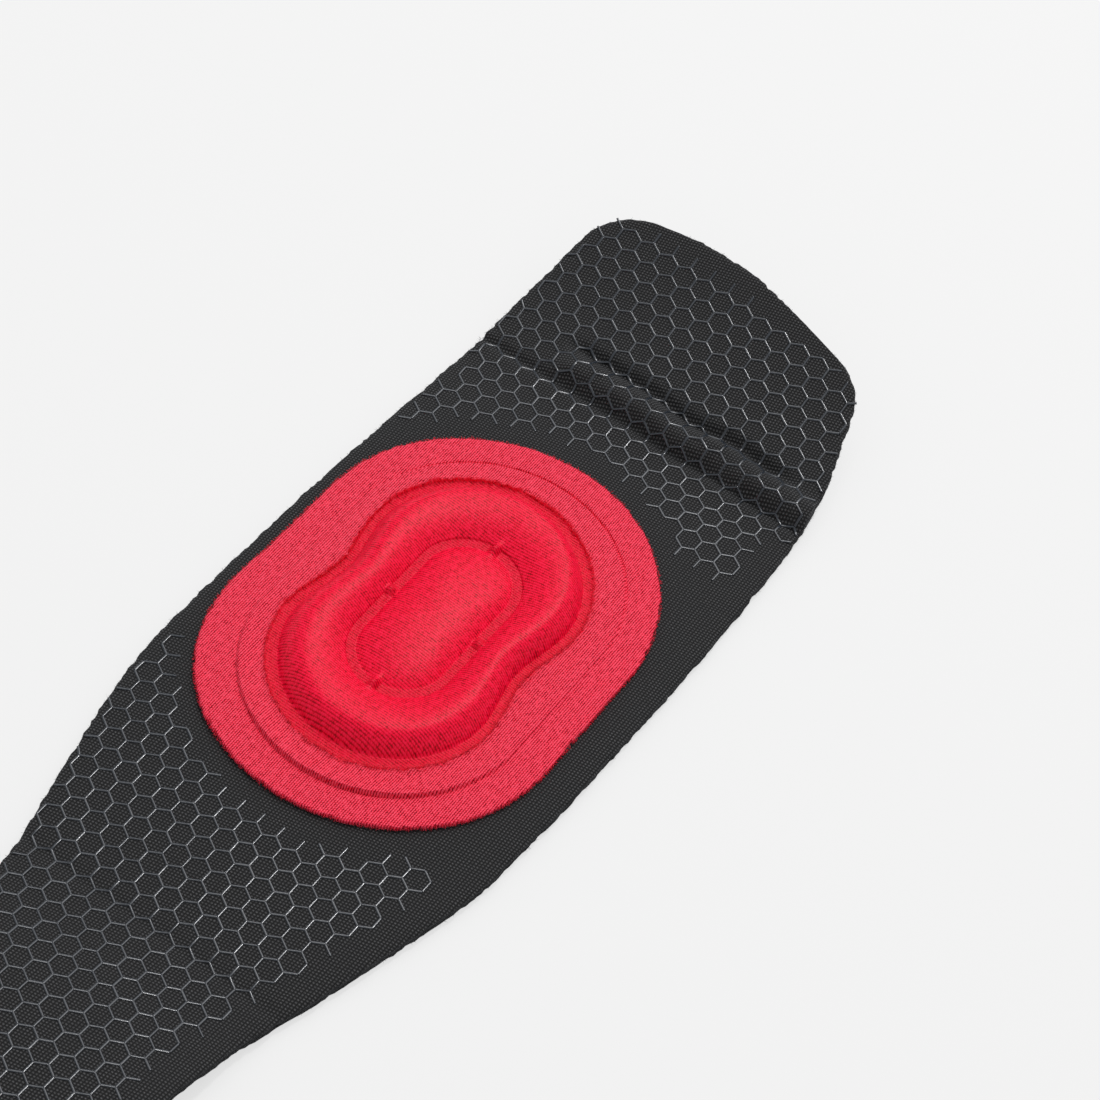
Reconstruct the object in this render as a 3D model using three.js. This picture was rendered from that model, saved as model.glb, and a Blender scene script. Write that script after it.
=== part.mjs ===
// Elbow support strap, lying open with its skin side up.
// Lengths are in millimetres. +X runs along the strap to its end flap, +Y to its left edge, +Z up.
// Stations along the strap are counted from the middle of the pad, along the skin side.
import * as THREE from 'three';

// Gap between pieces that rest on each other
const SEAT_GAP = 0.3;

// Pad, from its middle outwards
const CORE_LENGTH = 33.8;
const CORE_WIDTH = 16;
const CORE_HEIGHT = 3.4;
const GROOVE = 1.9;
const RING_END_BREADTH = 11.5;
const RING_SIDE_BREADTH = 9.5;
const RING_HEIGHT = 3.5;
const WAIST_DEPTH = 1.9;
const WAIST_LENGTH = 8;
const CHANNEL_END = 2.4;
const CHANNEL_SIDE = 1.9;
const PLATFORM_END = 4.5;
const PLATFORM_SIDE = 3.9;
const PLATFORM_RISE = 0.9;
const BORDER = 6.4;
const CLOTH = 0.9;
const EDGE_SLOPE = 0.9;

// How far the middles of the core, ring and channel stand off the pad's middle, to the left
const CORE_SHIFT = 0.45;
const RING_SHIFT = 0.85;
const CHANNEL_SHIFT = 1;

// Bridges across the groove
const BRIDGE_WIDTH = 2.6;
const BRIDGE_HEIGHT = 1.7;

// Band
const BAND_THICKNESS = 2.5;
const LEFT_MARGIN = 3.4;
const RIGHT_MARGIN = 6.4;
const FOLD_GAP = 13.8;
const FLAP_LENGTH = 38.7;
const FLAP_CORNER = 11;
const FLAP_BOW = 2.9;
const FLAP_BOW_CENTRE = 0.3;
const REST_GAP = 26.3;
const TAIL_LENGTH = 164;
const TAIL_CORNER = 16;

// How far the two ends lift from the surface that the strap lies on, as slopes in degrees
const TAIL_STEEPEST = 14;
const TAIL_EASED = 5;
const FLAP_AT_FOLD = 10.5;
const FLAP_AT_END = 21.5;
const BEND_LENGTH = 7;
const TAIL_BEND = 16;
const TAIL_EASE_LENGTH = 20;

// Raised roll before the flap, between a shallow groove at the fold and a deep one behind the roll
const ROLL_OFFSET = 4;
const ROLL_HEIGHT = 1.7;
const ROLL_HALF_WIDTH = 1.9;
const FOLD_GROOVE_DEPTH = 0.7;
const FOLD_GROOVE_HALF_WIDTH = 1.6;
const BACK_GROOVE_OFFSET = 8;
const BACK_GROOVE_DEPTH = 1.4;
const BACK_GROOVE_HALF_WIDTH = 1.7;
const UNDER_BULGE = 0.5;

// Hook fastener at the far end
const HOOK_LENGTH = 42;
const HOOK_WIDTH = 32;
const HOOK_THICKNESS = 1.2;
const HOOK_CORNER = 5;
const HOOK_INSET = 5;

// Mesh steps
const AROUND = 64;
const PATH_STEP = 0.5;

const materials = {
  knit: new THREE.MeshStandardMaterial({ color: 0x242526, roughness: 0.9, metalness: 0 }),
  red: new THREE.MeshStandardMaterial({ color: 0xe2213c, roughness: 0.65, metalness: 0 }),
  hook: new THREE.MeshStandardMaterial({ color: 0x1b1b1c, roughness: 0.6, metalness: 0 }),
};

// Each ring of the pad as half its length and half its width
const coreLoop = { length: CORE_LENGTH / 2, width: CORE_WIDTH / 2 };
const grooveLoop = widened(coreLoop, GROOVE, GROOVE);
const ringLoop = widened(grooveLoop, RING_END_BREADTH, RING_SIDE_BREADTH);
const channelLoop = widened(ringLoop, CHANNEL_END, CHANNEL_SIDE);
const platformLoop = widened(channelLoop, PLATFORM_END, PLATFORM_SIDE);
const padLoop = widened(platformLoop, BORDER, BORDER);

// Stations of the band, from the pad outwards
const FOLD_AT = padLoop.length + FOLD_GAP;
const FLAP_END = FOLD_AT + FLAP_LENGTH;
const REST_END = -(padLoop.length + REST_GAP);
const TAIL_END = REST_END - TAIL_LENGTH;
const LEFT_REACH = padLoop.width + LEFT_MARGIN;
const RIGHT_REACH = padLoop.width + RIGHT_MARGIN;

// Outline of the band. at is a share of the way to the tail's end, or to the flap's where it is
// above 0. left and right are shares of LEFT_REACH and RIGHT_REACH.
const OUTLINE = [
  { at: -1, left: 0.57, right: 0.53 },
  { at: -0.51, left: 0.61, right: 0.55 },
  { at: -0.37, left: 0.69, right: 0.6 },
  { at: -0.25, left: 0.865, right: 0.795 },
  { at: -0.17, left: 0.975, right: 0.925 },
  { at: -0.085, left: 1, right: 0.974 },
  { at: 0.21, left: 0.97, right: 1.005 },
  { at: 0.52, left: 0.92, right: 0.995 },
  { at: 0.69, left: 0.885, right: 0.958 },
  { at: 0.835, left: 0.84, right: 0.866 },
  { at: 1, left: 0.79, right: 0.763 },
];

// Slope of the skin side along the band, in degrees, falling towards the pad where it is below 0
const SLOPES = [
  { station: TAIL_END, slope: -TAIL_EASED },
  { station: REST_END - TAIL_BEND - TAIL_EASE_LENGTH, slope: -TAIL_EASED },
  { station: REST_END - TAIL_BEND, slope: -TAIL_STEEPEST },
  { station: REST_END, slope: 0 },
  { station: FOLD_AT - BEND_LENGTH, slope: 0 },
  { station: FOLD_AT, slope: FLAP_AT_FOLD },
  { station: FLAP_END, slope: FLAP_AT_END },
];

// Sections of the ring from its inner to its outer edge, and of the core from its middle out.
// across is a share of the breadth, and rise one of the height.
const RING_SECTION = [
  { across: 0, rise: 0 },
  { across: 0, rise: 0.16 },
  { across: 0.18, rise: 0.34 },
  { across: 0.38, rise: 0.68 },
  { across: 0.56, rise: 0.92 },
  { across: 0.72, rise: 1 },
  { across: 0.88, rise: 0.84 },
  { across: 0.97, rise: 0.46 },
  { across: 1, rise: 0 },
];
const CORE_SECTION = [
  { across: 0.3, rise: 1 },
  { across: 0.6, rise: 0.92 },
  { across: 0.82, rise: 0.72 },
  { across: 0.94, rise: 0.5 },
  { across: 1, rise: 0.24 },
  { across: 1, rise: 0 },
  { across: 0.5, rise: 0 },
];

// Where the patch is cut wider or narrower than its oval: an angle round the pad from +X, how
// many degrees it spreads to each side, and the distance outwards
const PATCH_CUT = [
  { angle: 142, spread: 26, outwards: 1.6 },
  { angle: 18, spread: 28, outwards: -0.9 },
  { angle: -158, spread: 26, outwards: -0.7 },
];

function widened(loop, end, side) {
  return { length: loop.length + end, width: loop.width + side };
}

function mixed(from, to, share) {
  return from + (to - from) * share;
}

function smoothStep(low, high, value) {
  return THREE.MathUtils.smoothstep(value, low, high);
}

function bell(distance, halfWidth) {
  return Math.exp(-((distance / halfWidth) ** 2));
}

// Value at a station of a table whose rows hold a station and a value, along straight lines
function alongLines(rows, stationOf, valueOf, station) {
  const next = rows.findIndex((row) => stationOf(row) >= station);
  if (next === 0) {
    return valueOf(rows[0]);
  }
  if (next < 0) {
    return valueOf(rows[rows.length - 1]);
  }
  const low = rows[next - 1];
  const high = rows[next];
  const share = (station - stationOf(low)) / (stationOf(high) - stationOf(low));
  return mixed(valueOf(low), valueOf(high), share);
}

// Same, along a smooth curve through the rows
function alongCurve(rows, stationOf, valueOf, station) {
  const last = rows.length - 1;
  const found = rows.findIndex((row) => stationOf(row) >= station);
  const high = found < 0 ? last : Math.max(found, 1);
  const low = high - 1;
  const slopeAt = (index) => {
    const before = Math.max(index - 1, 0);
    const after = Math.min(index + 1, last);
    const rise = valueOf(rows[after]) - valueOf(rows[before]);
    return rise / (stationOf(rows[after]) - stationOf(rows[before]));
  };
  const span = stationOf(rows[high]) - stationOf(rows[low]);
  const u = THREE.MathUtils.clamp((station - stationOf(rows[low])) / span, 0, 1);
  const startSlope = slopeAt(low) * span;
  const endSlope = slopeAt(high) * span;
  const start = valueOf(rows[low]);
  const end = valueOf(rows[high]);
  return (2 * u ** 3 - 3 * u ** 2 + 1) * start + (u ** 3 - 2 * u ** 2 + u) * startSlope
    + (3 * u ** 2 - 2 * u ** 3) * end + (u ** 3 - u ** 2) * endSlope;
}

// Skin side of the band, seen from the side

function slopeAt(station) {
  const degrees = alongLines(SLOPES, (row) => row.station, (row) => row.slope, station);
  return THREE.MathUtils.degToRad(degrees);
}

function walkedPath(direction, end) {
  const steps = Math.ceil(Math.abs(end) / PATH_STEP);
  const path = [{ x: 0, z: BAND_THICKNESS }];
  for (let i = 0; i < steps; i += 1) {
    const middle = slopeAt(direction * (i + 0.5) * PATH_STEP);
    const here = path[i];
    path.push({
      x: here.x + direction * Math.cos(middle) * PATH_STEP,
      z: here.z + direction * Math.sin(middle) * PATH_STEP,
    });
  }
  return path;
}

const pathToFlap = walkedPath(1, FLAP_END);
const pathToTail = walkedPath(-1, TAIL_END);

function pathAt(station) {
  const path = station < 0 ? pathToTail : pathToFlap;
  const place = Math.min(Math.abs(station) / PATH_STEP, path.length - 1);
  const low = Math.min(Math.floor(place), path.length - 2);
  const share = place - low;
  return {
    x: mixed(path[low].x, path[low + 1].x, share),
    z: mixed(path[low].z, path[low + 1].z, share),
  };
}

// Point that stands off the skin side by lift, at a station and a distance across the band
function skinPoint(station, across, lift) {
  const slope = slopeAt(station);
  const place = pathAt(station);
  return [place.x - Math.sin(slope) * lift, across, place.z + Math.cos(slope) * lift];
}

// Height of the fold, roll and grooves over the smooth skin side
function foldRelief(station, across) {
  const toLeftEnd = LEFT_REACH / 2;
  const rollFade = 1 - smoothStep(toLeftEnd - ROLL_HALF_WIDTH * 2, toLeftEnd + ROLL_HALF_WIDTH, across);
  const grooveFade = rollFade * smoothStep(-RIGHT_REACH * 0.9, -RIGHT_REACH * 0.65, across);
  const roll = ROLL_HEIGHT * bell(station - FOLD_AT - ROLL_OFFSET, ROLL_HALF_WIDTH) * rollFade;
  const fold = FOLD_GROOVE_DEPTH * bell(station - FOLD_AT, FOLD_GROOVE_HALF_WIDTH);
  return roll - fold - backGroove(station) * grooveFade;
}

function backGroove(station) {
  return BACK_GROOVE_DEPTH * bell(station - FOLD_AT - BACK_GROOVE_OFFSET, BACK_GROOVE_HALF_WIDTH);
}

// Outline of the band

function outlineStation(row) {
  return row.at < 0 ? -row.at * TAIL_END : row.at * FLAP_END;
}

function cornerCut(distanceToEnd, radius) {
  const inside = Math.max(radius - distanceToEnd, 0);
  return radius - Math.sqrt(Math.max(radius ** 2 - inside ** 2, 0));
}

function bandHalfWidth(station, side) {
  const reach = side === 'left' ? LEFT_REACH : RIGHT_REACH;
  const width = reach * alongCurve(OUTLINE, outlineStation, (row) => row[side], station);
  const flapCut = cornerCut(FLAP_END - station, FLAP_CORNER);
  const tailCut = cornerCut(station - TAIL_END, TAIL_CORNER);
  return width - flapCut - tailCut;
}

function bandAcross(station, share) {
  return share * bandHalfWidth(station, share > 0 ? 'left' : 'right');
}

// Solids

function geometryOf(points, faces) {
  const geometry = new THREE.BufferGeometry();
  geometry.setAttribute('position', new THREE.Float32BufferAttribute(points.flat(), 3));
  geometry.setIndex(faces.flat());
  geometry.computeVertexNormals();
  return geometry;
}

// Closed sheet over a grid of stations and shares across. place gives the point of its upper
// side where upper is true, and of its under side where it isn't.
function slab(stations, shares, place) {
  const points = [];
  for (const upper of [true, false]) {
    for (const station of stations) {
      for (const share of shares) {
        points.push(place(station, share, upper));
      }
    }
  }
  const columns = shares.length;
  const lastStation = stations.length - 1;
  const lastShare = columns - 1;
  const under = stations.length * columns;
  const at = (i, j) => i * columns + j;
  const faces = [];
  const quad = (a, b, c, d) => faces.push([a, b, c], [a, c, d]);
  for (let i = 0; i < lastStation; i += 1) {
    for (let j = 0; j < lastShare; j += 1) {
      quad(at(i, j), at(i + 1, j), at(i + 1, j + 1), at(i, j + 1));
      quad(under + at(i, j), under + at(i, j + 1), under + at(i + 1, j + 1), under + at(i + 1, j));
    }
    quad(under + at(i, 0), under + at(i + 1, 0), at(i + 1, 0), at(i, 0));
    const [near, far] = [at(i, lastShare), at(i + 1, lastShare)];
    quad(under + far, under + near, near, far);
  }
  for (let j = 0; j < lastShare; j += 1) {
    quad(under + at(0, j + 1), under + at(0, j), at(0, j), at(0, j + 1));
    const [near, far] = [at(lastStation, j), at(lastStation, j + 1)];
    quad(under + near, under + far, far, near);
  }
  return geometryOf(points, faces);
}

// Closed solid through loops of points. It closes on its first loop, or is capped at its two
// ends by fans round their middles.
function loft(loops, closesOnItself) {
  const count = loops[0].length;
  const points = loops.flat();
  const faces = [];
  const at = (k, i) => (k % loops.length) * count + (i % count);
  const spans = closesOnItself ? loops.length : loops.length - 1;
  for (let k = 0; k < spans; k += 1) {
    for (let i = 0; i < count; i += 1) {
      faces.push([at(k, i), at(k + 1, i), at(k + 1, i + 1)]);
      faces.push([at(k, i), at(k + 1, i + 1), at(k, i + 1)]);
    }
  }
  if (!closesOnItself) {
    const top = points.length;
    const bottom = top + 1;
    const lastLoop = loops.length - 1;
    points.push([0, 0, loops[0][0][2]], [0, 0, loops[lastLoop][0][2]]);
    for (let i = 0; i < count; i += 1) {
      faces.push([top, at(0, i), at(0, i + 1)]);
      faces.push([bottom, at(lastLoop, i + 1), at(lastLoop, i)]);
    }
  }
  return geometryOf(points, faces);
}

// Loops of the pad

// Distance from the middle to the edge of a shape with straight sides and half-round ends
function stadiumRadius(loop, angle) {
  const c = Math.abs(Math.cos(angle));
  const s = Math.abs(Math.sin(angle));
  const straight = loop.length - loop.width;
  if (s > 0 && (loop.width * c) / s <= straight) {
    return loop.width / s;
  }
  return straight * c + Math.sqrt(loop.width ** 2 - (straight * s) ** 2);
}

function patchCut(angle) {
  const degrees = THREE.MathUtils.radToDeg(angle);
  return PATCH_CUT.reduce((sum, row) => {
    const apart = Math.abs(((degrees - row.angle + 540) % 360) - 180);
    return sum + row.outwards * bell(apart, row.spread);
  }, 0);
}

// Loop of points at one height. waist is how far its long sides pull in at their middle, and cut
// the share of the patch's uneven cut that it follows.
function loopPoints(loop, height, { waist = 0, shift = 0, scale = 1, cut = 0 } = {}) {
  const points = [];
  for (let i = 0; i < AROUND; i += 1) {
    const angle = (i / AROUND) * 2 * Math.PI;
    const radius = (stadiumRadius(loop, angle) + cut * patchCut(angle)) * scale;
    const x = radius * Math.cos(angle);
    const pull = waist * bell(x, WAIST_LENGTH) * Math.sin(angle);
    points.push([x, radius * Math.sin(angle) - pull + shift, height]);
  }
  return points;
}

const floorHeight = SEAT_GAP + CLOTH;
const platformHeight = floorHeight + PLATFORM_RISE;
const cushionSeat = floorHeight + SEAT_GAP;

function padPatchGeometry() {
  const channel = { waist: WAIST_DEPTH, shift: CHANNEL_SHIFT };
  const wideChannel = widened(channelLoop, EDGE_SLOPE / 2, EDGE_SLOPE / 2);
  const stepFoot = widened(platformLoop, EDGE_SLOPE, EDGE_SLOPE);
  return loft([
    loopPoints(channelLoop, floorHeight, { scale: 0.5 }),
    loopPoints(channelLoop, floorHeight, channel),
    loopPoints(wideChannel, platformHeight, channel),
    loopPoints(platformLoop, platformHeight),
    loopPoints(stepFoot, floorHeight),
    loopPoints(padLoop, floorHeight, { cut: 1 }),
    loopPoints(padLoop, SEAT_GAP, { cut: 1 }),
    loopPoints(padLoop, SEAT_GAP, { cut: 1, scale: 0.5 }),
  ], false);
}

function ringGeometry() {
  const loops = RING_SECTION.map(({ across, rise }) => {
    const loop = widened(grooveLoop, RING_END_BREADTH * across, RING_SIDE_BREADTH * across);
    const shift = mixed(CORE_SHIFT, RING_SHIFT, across);
    return loopPoints(loop, cushionSeat + RING_HEIGHT * rise, { waist: WAIST_DEPTH * across, shift });
  });
  return loft(loops, true);
}

function coreGeometry() {
  const loops = CORE_SECTION.map(({ across, rise }) => (
    loopPoints(coreLoop, cushionSeat + CORE_HEIGHT * rise, { scale: across, shift: CORE_SHIFT })
  ));
  return loft(loops, false);
}

// Arched bar that crosses the groove along +X
function bridgeGeometry() {
  const length = GROOVE - 2 * SEAT_GAP;
  const half = BRIDGE_WIDTH / 2;
  const shoulder = BRIDGE_HEIGHT / 2;
  const arch = new THREE.Shape();
  arch.moveTo(-half, 0);
  arch.lineTo(half, 0);
  arch.lineTo(half, shoulder);
  arch.absellipse(0, shoulder, half, BRIDGE_HEIGHT - shoulder, 0, Math.PI, false, 0);
  arch.closePath();
  const geometry = new THREE.ExtrudeGeometry(arch, {
    depth: length,
    bevelEnabled: false,
    curveSegments: 6,
  });
  geometry.translate(0, 0, -length / 2);
  geometry.rotateX(Math.PI / 2);
  geometry.rotateZ(Math.PI / 2);
  return geometry;
}

function evenly(from, to, steps) {
  return Array.from({ length: steps }, (_, i) => mixed(from, to, i / steps));
}

// Stations that crowd towards a rounded end, from its tip inwards
function cornerStations(radius, steps) {
  return Array.from({ length: steps }, (_, i) => radius * (1 - Math.cos((i / steps) * (Math.PI / 2))));
}

function bandStations() {
  const rollStart = FOLD_AT - BEND_LENGTH;
  const rollEnd = FOLD_AT + BACK_GROOVE_OFFSET + 2 * BACK_GROOVE_HALF_WIDTH;
  const flapCorner = FLAP_END - FLAP_CORNER;
  const restBend = REST_END - TAIL_BEND - TAIL_EASE_LENGTH;
  return [
    ...cornerStations(TAIL_CORNER, 5).map((inset) => TAIL_END + inset),
    ...evenly(TAIL_END + TAIL_CORNER, restBend, 9),
    ...evenly(restBend, REST_END, 8),
    ...evenly(REST_END, rollStart, 13),
    ...evenly(rollStart, rollEnd, 16),
    ...evenly(rollEnd, flapCorner, 3),
    ...cornerStations(FLAP_CORNER, 5).reverse().map((inset) => FLAP_END - inset),
  ];
}

function bandGeometry() {
  const columns = 14;
  const shares = Array.from({ length: columns + 1 }, (_, i) => (2 * i) / columns - 1);
  return slab(bandStations(), shares, (station, share, upper) => {
    const across = bandAcross(station, share);
    const pastFold = Math.max(station - FOLD_AT, 0) / FLAP_LENGTH;
    const bowed = station - FLAP_BOW * pastFold ** 3 * (share - FLAP_BOW_CENTRE) ** 2;
    if (upper) {
      return skinPoint(bowed, across, foldRelief(station, across));
    }
    return skinPoint(bowed, across, -BAND_THICKNESS - UNDER_BULGE * backGroove(station));
  });
}

function hookGeometry() {
  const far = TAIL_END + HOOK_INSET;
  const near = far + HOOK_LENGTH;
  const corner = cornerStations(HOOK_CORNER, 4);
  const stations = [
    ...corner.map((inset) => far + inset),
    ...evenly(far + HOOK_CORNER, near - HOOK_CORNER, 5),
    near - HOOK_CORNER,
    ...corner.reverse().map((inset) => near - inset),
  ];
  const shares = [-1, -0.5, 0, 0.5, 1];
  return slab(stations, shares, (station, share, upper) => {
    const fromEnd = Math.min(station - far, near - station);
    const half = HOOK_WIDTH / 2 - cornerCut(fromEnd, HOOK_CORNER);
    const lift = SEAT_GAP + (upper ? HOOK_THICKNESS : 0);
    return skinPoint(station, share * half, lift);
  });
}

// Assembly

function named(name, geometry, material) {
  const mesh = new THREE.Mesh(geometry, material);
  mesh.name = name;
  return mesh;
}

const pad = new THREE.Group();
pad.position.z = BAND_THICKNESS;
pad.add(named('pad_patch', padPatchGeometry(), materials.red));
pad.add(named('ring_cushion', ringGeometry(), materials.red));
pad.add(named('core_cushion', coreGeometry(), materials.red));

const grooveMiddle = widened(coreLoop, GROOVE / 2, GROOVE / 2);
const bridges = [
  { x: grooveMiddle.length, y: 0, turn: 0 },
  { x: -grooveMiddle.length, y: 0, turn: 0 },
  { x: 0, y: grooveMiddle.width, turn: Math.PI / 2 },
  { x: 0, y: -grooveMiddle.width, turn: Math.PI / 2 },
];
bridges.forEach(({ x, y, turn }, index) => {
  const bridge = named(`bridge_tab_${index + 1}`, bridgeGeometry(), materials.red);
  bridge.position.set(x, y + CORE_SHIFT, cushionSeat);
  bridge.rotation.z = turn;
  pad.add(bridge);
});

const strap = new THREE.Group();
strap.add(named('band', bandGeometry(), materials.knit));
strap.add(named('hook_tab', hookGeometry(), materials.hook));
strap.add(pad);

// The origin is the middle of the whole strap's box, on the surface that it lies on
const box = new THREE.Box3().setFromObject(strap);
const middle = box.getCenter(new THREE.Vector3());
strap.position.set(-middle.x, -middle.y, -box.min.z);

const elbowStrap = new THREE.Group();
elbowStrap.add(strap);

export default elbowStrap;
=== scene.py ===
# Elbow support strap, lying open with its skin side up.
# Lengths are in millimetres until a mesh is made. Stations run along the skin side from the middle
# of the pad, as in the CAD source, and angles go round the pad in degrees from the flap's side.
import math

import bpy
import numpy as np
from mathutils import Matrix, Vector


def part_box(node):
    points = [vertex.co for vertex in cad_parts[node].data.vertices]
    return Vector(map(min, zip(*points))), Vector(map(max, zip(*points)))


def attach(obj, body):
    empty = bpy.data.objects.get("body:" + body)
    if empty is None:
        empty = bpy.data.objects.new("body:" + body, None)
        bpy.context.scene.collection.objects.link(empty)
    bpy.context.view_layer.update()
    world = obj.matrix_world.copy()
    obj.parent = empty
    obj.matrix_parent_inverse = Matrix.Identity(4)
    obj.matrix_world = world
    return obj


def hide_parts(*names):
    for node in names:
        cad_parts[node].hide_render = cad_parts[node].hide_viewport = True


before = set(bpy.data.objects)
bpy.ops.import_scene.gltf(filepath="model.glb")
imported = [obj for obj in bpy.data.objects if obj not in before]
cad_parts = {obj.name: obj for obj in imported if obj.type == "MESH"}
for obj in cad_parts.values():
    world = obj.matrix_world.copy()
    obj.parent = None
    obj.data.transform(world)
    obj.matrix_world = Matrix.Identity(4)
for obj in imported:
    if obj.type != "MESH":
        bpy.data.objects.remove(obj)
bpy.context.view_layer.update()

MM = 0.001
TINY = 1e-9
# Length of one unit of a cloth map
MAP_UNIT = 100

# Pad, from its middle outwards
SEAT_GAP = 0.3
CORE_LENGTH = 33.8
CORE_WIDTH = 16
CORE_HEIGHT = 3.4
GROOVE = 1.9
RING_END_BREADTH = 11.5
RING_SIDE_BREADTH = 9.5
RING_HEIGHT = 3.5
WAIST_DEPTH = 1.9
WAIST_LENGTH = 8
CHANNEL_END = 2.4
CHANNEL_SIDE = 1.9
PLATFORM_END = 4.5
PLATFORM_SIDE = 3.9
BORDER = 6.4
CORE_SHIFT = 0.45
RING_SHIFT = 0.85
CHANNEL_SHIFT = 1.0
CLOTH = 0.9
EDGE_SLOPE = 0.9

# Band
BAND_THICKNESS = 2.5
LEFT_MARGIN = 3.4
RIGHT_MARGIN = 6.4
FOLD_GAP = 13.8
FLAP_LENGTH = 38.7
FLAP_CORNER = 11
FLAP_BOW = 2.9
FLAP_BOW_CENTRE = 0.3
REST_GAP = 26.3
TAIL_LENGTH = 164
TAIL_CORNER = 16
TAIL_STEEPEST = 14
TAIL_EASED = 5
FLAP_AT_FOLD = 10.5
FLAP_AT_END = 21.5
BEND_LENGTH = 7
TAIL_BEND = 16
TAIL_EASE_LENGTH = 20

# Fold, roll and grooves
ROLL_OFFSET = 4
ROLL_HEIGHT = 1.7
ROLL_HALF_WIDTH = 2.5
ROLL_POWER = 1.5
ROLL_END = 0.5
FOLD_GROOVE_DEPTH = 0.8
FOLD_GROOVE_HALF_WIDTH = 0.95
FOLD_WANDER = 0.4
BACK_GROOVE_OFFSET = 8
BACK_GROOVE_DEPTH = 1.4
BACK_GROOVE_HALF_WIDTH = 1.3
BACK_GROOVE_FADE = (-0.9, -0.65)
UNDER_BULGE = 0.5
CREASE_OFFSET = -5
CREASE_DEPTH = 0.35
CREASE_HALF_WIDTH = 1.4
WAVES_FROM_PAD = (0.5, 6)

# Hook fastener at the far end
HOOK_LENGTH = 42
HOOK_WIDTH = 32
HOOK_THICKNESS = 1.2
HOOK_CORNER = 5
HOOK_INSET = 5
HOOK_SHEET = 0.5
HOOK_UNDER = 0.02
HOOK_PITCH = 1.7
HOOK_SPACING = 0.62
HOOK_FIRST = 1.6
HOOK_MARGIN = 1.2
HOOK_HALF_DEPTH = 0.16

# Half lengths and half widths of the pad's loops
CORE = np.array([CORE_LENGTH / 2, CORE_WIDTH / 2])
GROOVE_EDGE = CORE + GROOVE
RING = GROOVE_EDGE + [RING_END_BREADTH, RING_SIDE_BREADTH]
CHANNEL = RING + [CHANNEL_END, CHANNEL_SIDE]
PLATFORM = CHANNEL + [PLATFORM_END, PLATFORM_SIDE]
STEP_FOOT = PLATFORM + EDGE_SLOPE
PAD = PLATFORM + BORDER

# Numbers of the pad's loops. A radial step is a loop's number with the part of the way to the next
CORE_LOOP = 1
GROOVE_LOOP = 2
RING_LOOP = 3
CHANNEL_LOOP = 4
PAD_LOOP = 7

# Stations of the band
FOLD_AT = PAD[0] + FOLD_GAP
FLAP_END = FOLD_AT + FLAP_LENGTH
REST_END = -(PAD[0] + REST_GAP)
TAIL_END = REST_END - TAIL_LENGTH
LEFT_REACH = PAD[1] + LEFT_MARGIN
RIGHT_REACH = PAD[1] + RIGHT_MARGIN
HOOK_FAR = TAIL_END + HOOK_INSET
HOOK_NEAR = HOOK_FAR + HOOK_LENGTH

# Outline: a share of the way to the tail's end (below 0) or the flap's, and shares of the reaches
OUTLINE = np.array([
    [-1, 0.57, 0.53],
    [-0.51, 0.61, 0.55],
    [-0.37, 0.69, 0.6],
    [-0.25, 0.865, 0.795],
    [-0.17, 0.975, 0.925],
    [-0.085, 1, 0.974],
    [0.21, 0.97, 1.005],
    [0.52, 0.92, 0.995],
    [0.69, 0.885, 0.958],
    [0.835, 0.84, 0.866],
    [1, 0.79, 0.763],
])
OUTLINE_AT = np.where(OUTLINE[:, 0] < 0, -OUTLINE[:, 0] * TAIL_END, OUTLINE[:, 0] * FLAP_END)

# Slope of the skin side in degrees, and the steps in which it is walked
SLOPE_AT = [
    TAIL_END,
    REST_END - TAIL_BEND - TAIL_EASE_LENGTH,
    REST_END - TAIL_BEND,
    REST_END,
    FOLD_AT - BEND_LENGTH,
    FOLD_AT,
    FLAP_END,
]
SLOPE = [-TAIL_EASED, -TAIL_EASED, -TAIL_STEEPEST, 0, 0, FLAP_AT_FOLD, FLAP_AT_END]
PATH_STEP = 0.1
PATH_SPARE = 30

# Grid of the band: columns across, lengths of its steps, and steps at its round corners
BAND_COLUMNS = 88
BAND_STEP = 0.85
FOLD_STEP = 0.4
FINE_BEFORE_FOLD = 4
FINE_AFTER_FOLD = 13
TAIL_CORNER_STEPS = 26
FLAP_CORNER_STEPS = 22

# Cut edge: how narrow its uneven zone is along the sides and at the ends, and how far it is rounded
SIDE_ZONE_POWER = 40
END_ZONE = 0.4
EDGE_ROUNDING = 0.25
# Rings of its wall, from the skin side down: the share of the depth, and how far it stands out
WALL_RINGS = [(0.06, 0.12), (0.2, 0.16), (0.3, 0.02), (0.55, -0.05), (0.74, 0.02), (0.84, 0.14), (0.95, 0.1)]
WALL_NOISE_STRIDE = 40
# Parts of the band, as its mark says them
TOP_ZONE, WALL_ZONE, UNDER_ZONE = 0.0, 1.0, 2.0

# Uneven cloth, as layers of noise: the size of a cell, the height and the seed
NOISE_CELLS = 64
ROLL_LUMPS = [(5.0, 0.22, 11), (2.1, 0.1, 12)]
ROLL_WANDER = [(9.0, 0.5, 13)]
CLOTH_WAVES = [(17.0, 0.16, 14), (6.5, 0.05, 15)]
EDGE_JAG = [(0.9, 0.16, 21), (2.7, 0.14, 22)]
UNDER_WAVES = [(12.0, 0.06, 23)]
WALL_ROUGHNESS = [(0.8, 0.1, 24)]
PAD_RIPPLE = [(3.1, 0.04, 31), (8.0, 0.07, 32)]
HOLLOW_GRAIN = [(0.55, 0.05, 33)]
PATCH_JAG = [(0.8, 0.2, 34), (2.3, 0.14, 35)]
WELD_LUMPS = [(0.7, 0.34, 36), (1.9, 0.14, 37)]
WELD_WANDER = [(1.1, 0.5, 38), (0.6, 0.35, 39)]

# Heights over the band's skin side
FLOOR = SEAT_GAP + CLOTH
SEAT = FLOOR + SEAT_GAP

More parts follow.
